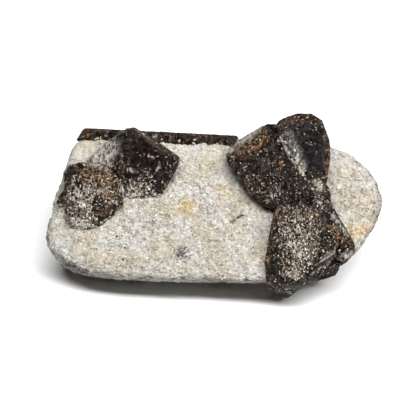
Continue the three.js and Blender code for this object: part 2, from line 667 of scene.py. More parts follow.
# How much longer than thick a mica layer is, then how far apart the bends of a growth ridge are in
# millimetres and how far they swing, in ridges.
LAYER_RUN = 7.0
RIDGE_WAVE = 9.0
RIDGE_WAVER = 0.6


def relief_recipe() -> Recipe:
    """Roughens a surface with lumps, grains, pits, mica layers and growth ridges.

    Returns:
        The tree. Sizes and heights are in millimetres.
    """
    tree = Recipe("natural_relief")
    material = tree.given("Material", "Material")
    place = tree.wire("GeometryNodeInputPosition")
    normal = tree.wire("GeometryNodeInputNormal")
    point = tree.scaled(place, 1 / MM)
    rough = 1 - tree.stored(Look.POLISH.value)

    lump_size, lump_height = tree.given("Lump Size"), tree.given("Lump Height")
    lumps = (tree.noise(point, lump_size, 3.0, 0.58) - 0.5) * 2 * lump_height
    grain_size, grain_height = tree.given("Grain Size"), tree.given("Grain Height")
    grains = (tree.noise(point, grain_size, 3.0, 0.6) - 0.5) * 2 * grain_height

    pit_size, pit_depth = tree.given("Pit Size"), tree.given("Pit Depth")
    bent = tree.vector("ADD", point, tree.wire("ShaderNodeTexNoise", None, {"Vector": point}, 1))
    chosen = tree.chance(bent, pit_size).ramp(0.35, 0.8)
    pits = tree.cells(bent, pit_size).ramp(0.15, 0.55, 1.0, 0.0) * chosen * pit_depth

    layer_spacing, layer_height = tree.given("Layer Spacing"), tree.given("Layer Height")
    facing = tree.given("Layer Facing", "Vector")
    across = tree.vector("DOT_PRODUCT", point, facing, output="Value")
    squeezed = tree.vector("ADD", point, tree.scaled(facing, across * (LAYER_RUN - 1)))
    steps = (tree.noise(squeezed, layer_spacing * LAYER_RUN, 3.0, 0.6) - 0.5) * 2 * layer_height
    layers = steps * tree.stored(Look.RIM.value)

    ridge_facing = tree.given("Ridge Facing", "Vector")
    ridge_across = tree.vector("DOT_PRODUCT", point, ridge_facing, output="Value")
    waver = tree.noise(point, RIDGE_WAVE, 2.0) * RIDGE_WAVER
    ridge_turns = (ridge_across / tree.given("Ridge Spacing") + waver) * math.tau
    ridges = ridge_turns.sine() * tree.given("Ridge Height") * tree.stored(Look.RIDGE.value)

    height = (lumps + (grains - pits) * rough + layers + ridges) * MM
    offset = tree.scaled(normal, height)
    moved = {"Geometry": tree.shape, "Offset": offset}
    shape = tree.wire("GeometryNodeSetPosition", None, moved)

    split = tree.node("ShaderNodeSeparateXYZ", None, {0: tree.wire("GeometryNodeInputPosition")})
    above_floor = Wire(tree, split.outputs[2]).at_least(0.0)
    parts = {0: Wire(tree, split.outputs[0]), 1: Wire(tree, split.outputs[1]), 2: above_floor}
    level = {"Geometry": shape, "Position": tree.wire("ShaderNodeCombineXYZ", None, parts)}
    tree.done(tree.wire("GeometryNodeSetPosition", None, level), material)
    return tree


# How much smaller and larger than its given size a bit may be, and how much narrower and broader.
# Then the meshes of a flake and a crumb, and the size of a crumb's lumps in millimetres.
BIT_GROWTH = (0.55, 1.35)
BIT_BREADTH = (0.7, 1.3)
FLAKE_MESH = {"Segments": 4, "Rings": 2}
CRUMB_MESH = {"Segments": 10, "Rings": 6}
CRUMB_LUMP = 0.5


def scatter_recipe(lumpy: bool) -> Recipe:
    """Scatters small bits over a surface, denser where the surface stores more of a look.

    Args:
        lumpy: Whether they are uneven crumbs instead of flat pointed flakes.

    Returns:
        The tree. Sizes are in millimetres and the density is for each square millimetre.
    """
    tree = Recipe("scattered_crumbs" if lumpy else "scattered_flakes")
    material = tree.given("Material", "Material")
    seed = tree.given("Seed", "Int")
    mask = tree.stored(tree.given("Look", "String"))
    place = tree.scaled(tree.wire("GeometryNodeInputPosition"), 1 / MM)
    clear = tree.dot(place, (0, 0, 1)).above(tree.given("Floor Gap"))
    density = mask * clear * tree.given("Density") / (MM * MM)
    spread = {"Mesh": tree.shape, "Density": density, "Seed": seed}
    dots = tree.node("GeometryNodeDistributePointsOnFaces", None, spread)
    dots.distribute_method = "RANDOM"

    def draw(low: Any, high: Any, step: int) -> Wire:
        """A random number for each bit.

        Args:
            low: The least that it can be.
            high: The most.
            step: What sets this draw apart from the others.

        Returns:
            The number.
        """
        settings = {"data_type": "FLOAT"}
        inputs = {2: low, 3: high, "Seed": seed + step}
        return tree.wire("FunctionNodeRandomValue", settings, inputs, 1)

    tilt = tree.given("Tilt")
    angles = {0: draw(0 - tilt, tilt, 1), 1: draw(0 - tilt, tilt, 2), 2: draw(0.0, math.tau, 3)}
    swing = tree.wire("ShaderNodeCombineXYZ", None, angles)
    turn = tree.wire("FunctionNodeEulerToRotation", None, {0: swing})
    lay = {0: Wire(tree, dots.outputs["Rotation"]), 1: turn}
    lean = tree.wire("FunctionNodeRotateRotation", {"rotation_space": "LOCAL"}, lay)

    growth = draw(*BIT_GROWTH, 4)
    sides = {
        0: tree.given("Length") * growth * MM,
        1: tree.given("Width") * draw(*BIT_BREADTH, 5) * growth * MM,
        2: tree.given("Thickness") * growth * MM,
    }
    mesh = CRUMB_MESH if lumpy else FLAKE_MESH
    planted = {
        "Points": Wire(tree, dots.outputs["Points"]),
        "Instance": tree.wire("GeometryNodeMeshUVSphere", None, {**mesh, "Radius": 0.5}),
        "Rotation": lean,
        "Scale": tree.wire("ShaderNodeCombineXYZ", None, sides),
    }
    crowd = tree.wire("GeometryNodeInstanceOnPoints", None, planted)
    shade = {"Geometry": crowd, "Name": Look.SHADE.value, "Value": draw(0.0, 1.0, 6)}
    settings = {"data_type": "FLOAT", "domain": "INSTANCE"}
    bits = tree.wire("GeometryNodeStoreNamedAttribute", settings, shade)
    if lumpy:
        real = tree.wire("GeometryNodeRealizeInstances", None, {"Geometry": bits})
        bump = (tree.noise(place, CRUMB_LUMP, 2.0) - 0.5) * (CRUMB_LUMP * MM)
        push = tree.scaled(tree.wire("GeometryNodeInputNormal"), bump)
        bits = tree.wire("GeometryNodeSetPosition", None, {"Geometry": real, "Offset": push})
    tree.done(bits, material)
    return tree


# ------------------------------------------------------------------ finishes


@dataclass(frozen=True)
class SchistFinish:
    """Pale mica schist: fine quartz and mica grains, layered on its rim, with ochre stains.

    Its sizes are in millimetres.

    Attributes:
        cream: Its main colour.
        white: Its palest grains, and its painted glints.
        sand: Its yellowish patches.
        ash: Its greyish patches.
        ochre: Its stains.
        ink: Its dark grains.
        moss: Its thin olive fibres.
        layers: The direction across its mica layers.
        flatten: How much flatter its grains are than wide, less one.
        streak: How much longer the threads of its rim are than wide, less one.
        sand_size: How far apart its sandy patches are.
        ash_size: How far apart its ashy patches are.
        stain_size: How far apart the spots of a stain are.
        sugar_size: How far apart its bright and dull spots are.
        grain_size: How wide its coarse grains are.
        fine_size: How wide its fine grains are.
        fibre_size: How far apart its fibres are.
        fibre_gap: How far apart the areas with fibres are.
        thread_size: How far apart the threads of its rim are.
        soot_size: How far apart its sooty spots are.
        blot_size: How far apart the grains of a dark blot are.
        dust_size: How wide its dark dust is.
        plate_size: How wide its finest plates are.
        swell_size: How far apart its gentle swells are.
    """

    cream: Colour = linear(191, 187, 180)
    white: Colour = linear(232, 231, 227)
    sand: Colour = linear(178, 169, 151)
    ash: Colour = linear(170, 166, 155)
    ochre: Colour = linear(184, 158, 102)
    ink: Colour = linear(52, 50, 48)
    moss: Colour = linear(118, 112, 92)
    layers: Heading = (-90, 62)
    flatten: float = 2.4
    streak: float = 8.0
    sand_size: float = 6.0
    ash_size: float = 2.6
    stain_size: float = 1.1
    sugar_size: float = 0.8
    grain_size: float = 0.62
    fine_size: float = 0.4
    fibre_size: float = 1.5
    fibre_gap: float = 1.7
    thread_size: float = 2.4
    soot_size: float = 0.55
    blot_size: float = 0.5
    dust_size: float = 0.36
    plate_size: float = 0.38
    swell_size: float = 1.6

    def material(self) -> bpy.types.Material:
        """Builds the finish's nodes.

        Returns:
            The material.
        """
        paint = Paint("mica_schist")
        point = paint.point
        rim, polish = paint.look(Look.RIM), paint.look(Look.POLISH)
        rough = 1 - polish
        across = tuple(heading(self.layers))
        squeeze = paint.wire("ShaderNodeCombineXYZ", None, {i: across[i] for i in range(3)})
        depth = paint.dot(point, across)
        flat = paint.vector("ADD", point, paint.scaled(squeeze, depth * self.flatten))
        layered = paint.vector("ADD", point, paint.scaled(squeeze, depth * self.streak))

        sandy = paint.noise(point, self.sand_size, 3.0).ramp(0.4, 0.68)
        colour = paint.blend(sandy, self.cream, self.sand)
        ashy = paint.noise(flat, self.ash_size, 3.0).ramp(0.5, 0.72) * 0.6
        colour = paint.blend(ashy, colour, self.ash)
        spots = paint.noise(point, self.stain_size, 3.0, 0.7).ramp(0.32, 0.6)
        stain = paint.look(Look.RUST) * spots
        colour = paint.blend(stain, colour, self.ochre)

        sugar = paint.noise(flat, self.sugar_size, 3.0, 0.72, 0.5)
        grain = paint.chance(flat, self.grain_size)
        fine = paint.chance(flat, self.fine_size)
        mottle = 0.42 + 0.7 * sugar + 0.22 * grain + 0.28 * fine
        colour = paint.scaled(colour, mottle + (1 - mottle) * polish * 0.75)
        # White specks with lower roughness: pale grains, partly painted glints.
        sparkle = fine.ramp(0.78, 0.9) * sugar.ramp(0.5, 0.62) * rough
        colour = paint.blend(sparkle * 0.85, colour, self.white)

        drift = paint.noise(flat, self.fibre_size, 3.0, 0.65, 0.7) - 0.5
        fibred = paint.noise(point, self.fibre_gap).ramp(0.42, 0.58)
        fibre = (drift * drift).ramp(0.0028, 0.0004) * fibred
        colour = paint.blend(fibre * rough * 0.5, colour, self.moss)

        thread = paint.noise(layered, self.thread_size, 3.0, 0.7, 0.3).ramp(0.52, 0.62) * rim
        sooty = paint.noise(flat, self.soot_size, 2.0, 0.6)
        soot = (sugar * 0.5 + sooty * 0.5).ramp(0.4, 0.34) * rough
        # The dark look: dark blots and a greyer right end on the block, a darker groove fill, and on
        # crumbs lying on a crystal its painted crease shade.
        stained = paint.look(Look.DARK)
        blotted = paint.noise(point, self.blot_size, 2.0, 0.7)
        blot = (blotted + stained * 0.5 - 0.5).ramp(0.26, 0.34)
        # Darker along the rim: partly its greyer layer edges, partly painted shade where it curves
        # down away from the light.
        colour = paint.scaled(colour, 1 - 0.3 * stained - 0.11 * rim)
        dust = paint.chance(flat, self.dust_size).ramp(0.09, 0.04) * rough
        dark = thread * 0.9 + (soot + dust) * (0.35 + 0.35 * rim) + blot
        colour = paint.blend(dark.at_most(0.92), colour, self.ink)

        roughness = 0.75 - sparkle * 0.35 - polish * 0.4
        plates = paint.facets(flat, self.grain_size) * 0.55 + paint.facets(flat, self.plate_size) * 0.5
        swells = paint.noise(flat, self.swell_size) * 0.5
        height = (plates + sugar * 0.3) * (0.25 + 0.75 * rough) + swells
        return paint.finish(colour, roughness, height, Specular_IOR_Level=0.4)


@dataclass(frozen=True)
class StauroliteFinish:
    """Dark staurolite: glassy where it is clean, pitted and full of pale mica where it isn't.

    Its sizes are in millimetres.

    Attributes:
        deep: Its clean faces.
        brown: Its warmer parts.
        umber: Its worn edges.
        orange: Its rusty parts.
        silver: Its fibrous, micaceous skin.
        tan: The browner grains in it.
        flake: The palest grains in it.
        stretch: How its grains are drawn out along +Y and +Z, as a share of their width.
        warm_size: How far apart its warmer parts are.
        edge_size: How far apart the bare parts of its worn edges are.
        rust_size: How far apart its rusty spots are.
        grit_size: How far apart its lighter and darker spots are.
        strand_size: How far apart the strands of its micaceous skin are.
        coarse_size: How far apart its coarse grains of mica are.
        fine_size: How far apart its fine grains of mica are.
        tone_size: How far apart the paler and the browner grains are.
        pale_size: How far apart the parts of its palest skin are.
        gap_size: How far apart its dark gaps are.
        plate_sizes: How wide its coarse and its fine chips are.
    """

    deep: Colour = linear(12, 10, 11)
    brown: Colour = linear(46, 33, 29)
    umber: Colour = linear(84, 71, 62)
    orange: Colour = linear(122, 90, 60)
    silver: Colour = linear(194, 190, 183)
    tan: Colour = linear(138, 116, 90)
    flake: Colour = linear(204, 198, 188)
    stretch: Point = (1.0, 0.4, 0.55)
    warm_size: float = 2.2
    edge_size: float = 0.9
    rust_size: float = 0.6
    grit_size: float = 0.8
    strand_size: float = 0.6
    coarse_size: float = 0.72
    fine_size: float = 0.44
    tone_size: float = 0.8
    pale_size: float = 0.9
    gap_size: float = 0.5
    plate_sizes: tuple[float, float] = (0.9, 0.5)

    def material(self) -> bpy.types.Material:
        """Builds the finish's nodes.

        Returns:
            The material.
        """
        paint = Paint("staurolite")
        point = paint.point
        speckle, rust = paint.look(Look.SPECKLE), paint.look(Look.RUST)
        polish, silver, worn = (
            paint.look(look) for look in (Look.POLISH, Look.SILVER, Look.WORN)
        )
        rough = 1 - polish
        # groove is the dark look: painted shade in creases, in a hole and under ledges.
        groove, crust = paint.look(Look.DARK), paint.look(Look.CRUST)
        warm = paint.noise(point, self.warm_size, 3.0, 0.6).ramp(0.42, 0.64)
        colour = paint.blend(warm * (0.15 + 0.4 * worn + 0.6 * rust), self.deep, self.brown)
        edge = worn * paint.noise(point, self.edge_size, 3.0, 0.65).ramp(0.42, 0.6)
        colour = paint.blend(edge * 0.7, colour, self.umber)
        stain = rust * paint.noise(point, self.rust_size, 3.0, 0.7, 0.5).ramp(0.48, 0.58)
        colour = paint.blend(stain, colour, self.orange)

        grit = paint.noise(point, self.grit_size, 3.0, 0.7)
        colour = paint.scaled(colour, grit.ramp(0.36, 0.64, 0.2, 1.8))
        stretch = paint.vector("MULTIPLY", point, self.stretch)
        strands = paint.noise(stretch, self.strand_size, 3.0, 0.7, 0.6)
        colour = paint.blend(silver * strands.ramp(0.36, 0.5), colour, self.silver)

        coarse = paint.noise(stretch, self.coarse_size, 2.0, 0.62, 1.4)
        fine = paint.noise(stretch, self.fine_size, 2.0, 0.6, 0.9)
        limit = 0.7 - 0.2 * speckle
        present = speckle.ramp(0.0, 0.12)
        fleck = (coarse - limit).ramp(0.0, 0.03) * present
        dust = (fine - limit - 0.015).ramp(0.0, 0.03) * present
        tone = paint.chance(point, self.tone_size)
        white = (tone * 1.3 - 0.1 - rust * 0.6).at_least(0.0) * (0.35 + 0.65 * speckle)
        grain = paint.blend(white, self.tan, self.flake)
        colour = paint.blend(fleck * (0.45 + 0.5 * tone), colour, grain)
        colour = paint.blend(dust * (0.3 + 0.5 * speckle), colour, grain)
        patchy = paint.noise(point, self.pale_size, 3.0, 0.65, 0.6)
        clinging = (patchy + crust * 0.5 - 0.72).ramp(0.0, 0.06) * crust
        pale = (paint.look(Look.PALE) * patchy.ramp(0.34, 0.5)).at_least(clinging)
        colour = paint.blend(pale * 0.9, colour, self.flake)
        gaps = paint.noise(stretch, self.gap_size, 2.0, 0.6, 0.8).ramp(0.5, 0.4) * rough
        # Painted shade: much darker where the dark look marks creases, a hole and ledges, and darker
        # in random gaps.
        colour = paint.scaled(colour, 1 - (0.95 * groove + 0.75 * gaps).at_most(0.96))

        roughness = 0.42 - 0.12 * polish + 0.2 * fleck
        chip, splinter = self.plate_sizes
        plates = paint.facets(point, chip) * 0.9 + paint.facets(stretch, splinter) * 0.5
        height = (coarse * 0.3 + fine * 0.2 + plates) * rough + polish * grit * 0.08
        return paint.finish(colour, roughness, height, Specular_IOR_Level=0.16)


@dataclass(frozen=True)
class FlakeFinish:
    """Small mica and quartz flakes, each its own shade.

    Attributes:
        name: What the material is called.
        dull: The darkest of them.
        middle: The most common.
        bright: The palest of them.
        stained: What a rusty surface turns them.
        roughness: How dull the shiniest of their faces are.
        tint_size: How far apart the rusty spots are, in millimetres.
        cloud_size: How far apart the brighter and duller spots are.
        sheen_size: How far apart the shinier and duller spots are.
    """

    name: str
    dull: Colour
    middle: Colour
    bright: Colour
    stained: Colour = linear(158, 122, 78)
    roughness: float = 0.3
    tint_size: float = 0.9
    cloud_size: float = 0.3
    sheen_size: float = 0.5

    def material(self) -> bpy.types.Material:
        """Builds the finish's nodes.

        Returns:
            The material.
        """
        paint = Paint(self.name)
        shade = paint.look(Look.SHADE)
        colour = paint.blend(shade.ramp(0.0, 0.5), self.dull, self.middle)
        white = shade.ramp(0.5, 1.0) * (0.25 + 0.75 * paint.look(Look.SPECKLE))
        colour = paint.blend(white, colour, self.bright)
        rusty = paint.noise(paint.point, self.tint_size, 2.0).ramp(0.35, 0.6)
        tint = paint.look(Look.RUST) * rusty
        colour = paint.blend(tint, colour, self.stained)
        cloud = 0.85 + 0.3 * paint.noise(paint.point, self.cloud_size, 1.0)
        roughness = self.roughness + 0.25 * paint.noise(paint.point, self.sheen_size, 1.0)
        return paint.finish(paint.scaled(colour, cloud), roughness, Specular_IOR_Level=0.6)


# ------------------------------------------------------------------ the schist


@dataclass(frozen=True)
class Relief:
    """How rough a surface is, in millimetres.

    Attributes:
        lump_size: How far apart its broad lumps are.
        lump_height: How high they are.
        grain_size: How far apart its grains are.
        grain_height: How high they are.
        pit_size: How far apart its pits are.
        pit_depth: How deep they are.
        layer_facing: The direction across its mica layers.
        layer_spacing: How thick a layer is.
        layer_height: How far it stands out on the rim.
        ridge_facing: The direction across its growth ridges.
        ridge_spacing: How far apart the ridges are.
        ridge_height: How high they are.
    """

    lump_size: float = 3.0
    lump_height: float = 0.12
    grain_size: float = 0.9
    grain_height: float = 0.16
    pit_size: float = 1.1
    pit_depth: float = 0.0
    layer_facing: Heading = (-90, 62)
    layer_spacing: float = 1.25
    layer_height: float = 0.0
    ridge_facing: Heading = (0, 0)
    ridge_spacing: float = 1.0
    ridge_height: float = 0.0

    def values(self, material: bpy.types.Material) -> dict[str, Any]:
        """The relief recipe's inputs.

        Args:
            material: What the surface is covered in.

        Returns:
            The inputs by name.
        """
        values = labelled(vars(self)) | {"Material": material}
        for name in ("Layer Facing", "Ridge Facing"):
            values[name] = tuple(heading(values[name]))
        return values


@dataclass(frozen=True)
class Side:
    """One flat side of the worn block.

    Attributes:
        turn: Which way it faces round the vertical.
        tilt: How far up it faces.
        distance: How far it is from the block's heart.
    """

    turn: float
    tilt: float
    distance: float


@dataclass
class SchistBlock:
    """The worn block of schist: flat sides round a heart, meeting in rounded edges.

    Attributes:
        heart: The point that the sides are measured from.
        reach: The block's rough half size.
        edge: How sharply the sides meet.
        sides: The flat sides.
        voxel: The spacing of its surface.
        subdivisions: How fine the ball is that its form is drawn from.
        relief: How rough it is.
        evening: How many times its facing is averaged before its rim is marked.
        rim_gain: How fast the rim's look rises away from the layers.
        rim_start: Where it starts to rise.
        pattern: Where its looks vary.
        cover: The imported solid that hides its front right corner.
        tuck: Where it is drawn in beneath that solid, by its amount in millimetres.
        tuck_hold: How firmly the tuck holds towards its edge.
    """

    heart: Point = (-0.5, -1.29, 8.5)
    reach: Point = (37, 15, 9)
    edge: float = 11
    sides: tuple[Side, ...] = (
        Side(-90, 62, 6.3),
        Side(-88, 15, 15.3),
        Side(-86, -53, 11.4),
        Side(0, -90, 9.2),
        Side(91, 4, 16.2),
        Side(93, 48, 21.5),
        Side(90, -45, 13.5),
        Side(159, -20, 29.1),
        Side(165, 2, 51.3),
        Side(-116, -8, 39),
        Side(-113, -18, 23.6),
        Side(-175, 37, 49),
        Side(8, 5, 42),
        Side(32, 40, 35.9),
        Side(46, 0, 33),
        Side(-48, 20, 28.1),
        Side(-9, -47, 22.3),
        Side(-55, -40, 21.1),
    )
    voxel: float = 0.3
    subdivisions: int = 7
    evening: int = 6
    rim_gain: float = 4.2
    rim_start: float = 0.1
    relief: Relief = Relief(
        lump_size=3.2,
        lump_height=0.62,
        grain_size=1.2,
        grain_height=0.42,
        pit_size=1.6,
        pit_depth=0.2,
        layer_spacing=1.0,
        layer_height=0.5,
    )
    pattern: Pattern = Pattern(
        base={Look.SPECKLE: 0.35},
        patches={
            Look.RUST: (
                # On the plateau, then along the front and at the right end.
                Patch((-6.2, -2.4, 15.2), 2.9, 0.85),
                Patch((1.9, 1.3, 17.1), 2.4, 0.5),
                Patch((-29.8, -11.9, 9.8), 1.6, 0.32, (-22.0, -13.2, 8.9)),
                Patch((30.9, -5.0, 12.8), 2.6, 0.95, (35.0, -2.6, 12.8)),
                Patch((32.7, 0.3, 16.1), 5.0, 0.35),
                Patch((-27.4, -9.6, 11.1), 0.9, 0.7),
            ),
            Look.DARK: (
                # A blot near the front edge, and the greyer right end.
                Patch((-6.4, -12.0, 9.9), 2.4, 0.62),
                Patch((33.4, 2.0, 15.0), 9.0, 0.3),
                # A slanting streak, and single grains.
                Patch((3.8, -5.0, 13.6), 0.5, 0.7, (4.6, -4.5, 14.0)),
                Patch((5.2, -4.1, 14.3), 0.5, 0.95, (6.0, -3.6, 14.6)),
                Patch((-20.8, -9.4, 11.2), 0.45, 1.0),
                Patch((-22.1, -12.2, 9.6), 0.45, 1.0),
                Patch((-18.8, -11.6, 10.1), 0.45, 1.0),
                Patch((-19.0, -13.9, 8.9), 0.45, 1.0),
                Patch((2.9, -15.6, 7.4), 0.45, 1.0),
                Patch((8.1, -15.8, 6.9), 0.6, 1.0),
                Patch((-31.2, -13.6, 6.4), 1.6, 0.62, (-27.7, -15.0, 5.6)),
            ),
            Look.SPECKLE: (
                Patch((-17.8, -4.6, 13.9), 5.0, 1.0, (-12.2, -3.4, 14.6)),
                Patch((-8.0, 3.0, 18.0), 4.0, 0.7),
                Patch((-29.0, -9.0, 11.6), 4.0, 0.8),
                Patch((34.0, 2.0, 15.0), 9.0, 0.1),
                Patch((-30.2, 8.4, 20.5), 3.4, 0.03),
            ),
            Look.POLISH: (
                # A smooth glassy spot, then gently rubbed areas.
                Patch((-30.2, 8.4, 20.5), 3.4, 0.95),
                Patch((33.4, 2.0, 15.0), 8.0, 0.12),
                Patch((-3.0, 7.5, 20.0), 4.5, 0.25, (4.0, 7.5, 20.0)),
            ),
        },
    )
    cover: str = "right_twin"
    tuck: Patch = Patch((26.5, -11.5, 10.5), 4.4, 2.2, (25.0, -12.0, 5.5))
    tuck_hold: float = 2.0

    def hull(self) -> bpy.types.Object:
        """The smooth form, before its surface is made even.

        Returns:
            The form as an object.
        """
        ball = bmesh.new()
        bmesh.ops.create_icosphere(ball, subdivisions=self.subdivisions, radius=1.0)
        rays = np.array([corner.co for corner in ball.verts]) * self.reach
        rays /= np.linalg.norm(rays, axis=1)[:, None]
        pull = sum(
            (rays @ heading((side.turn, side.tilt)) / side.distance).clip(0) ** self.edge
            for side in self.sides
        )
        points = np.array(self.heart) + rays * (pull ** (-1 / self.edge))[:, None]
        points[:, 2] = points[:, 2].clip(0)
        for corner, place in zip(ball.verts, points * MM):
            corner.co = place
        return moulded("schist_hull", ball)

    def tucked(self, points: np.ndarray) -> np.ndarray:
        """The block's points, with those near the tuck drawn in beneath its cover.

        Args:
            points: The points, in millimetres.

        Returns:
            The points where they end up.
        """
        cover = bpy.data.objects[self.cover]
        tree = BVHTree.FromObject(cover, bpy.context.evaluated_depsgraph_get())
        share = (self.tuck.share(points) * self.tuck_hold).clip(0, 1)
        points = points.copy()
        for index in np.flatnonzero(share):
            place, normal = tree.find_nearest(Vector(points[index] * MM))[:2]
            place, normal = np.array(place) / MM, np.array(normal)
            if (place - points[index]) @ normal < self.tuck.amount:
                goal = place - normal * self.tuck.amount
                points[index] += (goal - points[index]) * share[index]
        return points

    def build(self, relief: Recipe, material: bpy.types.Material) -> bpy.types.Object:
        """Makes the block.

        Args:
            relief: The recipe that roughens it.
            material: What it is covered in.

        Returns:
            The finished piece.
        """
        base = remeshed(self.hull(), self.voxel, "schist_even")
        skin = Skin(base)
        across = heading(self.relief.layer_facing)
        normals = skin.evened(skin.normals(), self.evening)
        rim = 1 - np.abs(normals @ across)
        skin.store(Look.RIM, rim * self.rim_gain - self.rim_start)
        for look in (Look.RUST, Look.DARK, Look.POLISH, Look.RIDGE, Look.SPECKLE):
            skin.store(look, self.pattern.value(look, skin.points))
        skin.points = self.tucked(skin.points)
        skin.write()
        piece = relief.run(base, self.relief.values(material), "schist_block")
        discard(base)
        return piece


# ------------------------------------------------------------------ the crystals


def clearance(block: bpy.types.Object, points: np.ndarray) -> np.ndarray:
    """How far each point is from a piece's surface, in millimetres.

    Args:
        block: The piece.
        points: The points, in millimetres.

    Returns:
        A distance for each of them.
    """
    tree = BVHTree.FromObject(block, bpy.context.evaluated_depsgraph_get())
    return np.array([tree.find_nearest(Vector(point))[3] for point in points * MM]) / MM


@dataclass(frozen=True)
class Ledge:
    """A step down in a face along a straight line.

    Attributes:
        at: A point on the line, and one end of the stretch that steps down.
        to: The other end of that stretch.
        across: The direction across the line, downhill.
        depth: How far the face beyond the line is sunk.
        size: How far from the stretch it is sunk.
        slope: How wide the step itself is.
    """

    at: Point
    to: Point
    across: Heading
    depth: float
    size: float
    slope: float = 0.35

    def sunk(self, points: np.ndarray) -> np.ndarray:
        """How far each point is sunk, in millimetres.

        Args:
            points: The points, in millimetres.

        Returns:
            A depth for each of them.
        """
        past = (points - np.array(self.at)) @ heading(self.across)
        share = Patch(self.at, self.size, 1.0, self.to).share(points)
        return (past / self.slope + 0.5).clip(0, 1) * share * self.depth


@dataclass
class Crystal:
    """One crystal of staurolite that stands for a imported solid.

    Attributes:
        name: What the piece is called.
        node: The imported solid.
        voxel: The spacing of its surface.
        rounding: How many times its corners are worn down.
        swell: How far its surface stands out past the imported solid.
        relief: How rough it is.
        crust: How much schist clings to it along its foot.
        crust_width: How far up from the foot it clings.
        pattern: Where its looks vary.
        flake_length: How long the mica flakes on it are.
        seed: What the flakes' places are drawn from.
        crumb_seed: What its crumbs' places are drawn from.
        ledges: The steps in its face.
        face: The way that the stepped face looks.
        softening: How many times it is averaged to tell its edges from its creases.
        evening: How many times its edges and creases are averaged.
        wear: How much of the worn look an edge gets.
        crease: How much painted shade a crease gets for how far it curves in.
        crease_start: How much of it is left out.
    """

    name: str
    node: str
    voxel: float
    rounding: int
    swell: float
    crust: float
    relief: Relief
    pattern: Pattern
    flake_length: float
    seed: int
    crumb_seed: int
    ledges: tuple[Ledge, ...] = ()
    face: Heading = (-82, 46)
    crust_width: float = 0.9
    softening: int = 24
    evening: int = 3
    wear: float = 4.0
    crease: float = 12.0
    crease_start: float = 0.15

    def solid(self) -> bpy.types.Object:
        """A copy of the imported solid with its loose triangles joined.

        Returns:
            The copy as an object.
        """
        mesh = bpy.data.objects[self.node].data.copy()
        merged = bmesh.new()
        merged.from_mesh(mesh)
        bmesh.ops.remove_doubles(merged, verts=merged.verts, dist=MERGE_DISTANCE)
        merged.to_mesh(mesh)
        merged.free()
        return linked(self.name + "_solid", mesh)

    def build(
        self, relief: Recipe, material: bpy.types.Material, block: bpy.types.Object
    ) -> bpy.types.Object:
        """Makes the crystal.

        Args:
            relief: The recipe that roughens it.
            material: What it is covered in.
            block: The schist that it stands in.

        Returns:
            The finished piece.
        """
        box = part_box(self.node)
        LOG.info("%s stands in the box %s to %s", self.name, *box)
        base = remeshed(self.solid(), self.voxel, self.name + "_even")
        skin = Skin(base)
        normals = skin.normals()
        softened = skin.evened(skin.points, self.softening)
        bulge = ((skin.points - softened) * normals).sum(1)
        skin.points = skin.evened(skin.points, self.rounding) + normals * self.swell
        marks = skin.points
        facing = (normals @ heading(self.face)).clip(0, 1)
        for ledge in self.ledges:
            drop = ledge.sunk(marks) * facing
            skin.points = skin.points - drop[:, None] * heading(self.face)
        skin.write()
        curve = skin.evened(bulge[:, None], self.evening)[:, 0]
        skin.store(Look.WORN, curve * self.wear)
        # The dark look is painted shade: creases are darkened for how far they curve in, and so are
        # the listed patches.
        creases = self.pattern.value(Look.DARK, marks)
        skin.store(Look.DARK, np.maximum(-curve * self.crease - self.crease_start, creases))
        foot = self.crust * (1 - clearance(block, skin.points) / self.crust_width)
        skin.store(Look.CRUST, np.maximum(foot, self.pattern.value(Look.CRUST, marks)))
        for look in (
            Look.RIM, Look.SPECKLE, Look.RUST, Look.POLISH, Look.SILVER, Look.RIDGE, Look.PALE
        ):
            skin.store(look, self.pattern.value(look, marks))
        piece = relief.run(base, self.relief.values(material), self.name)
        discard(base)
        return piece


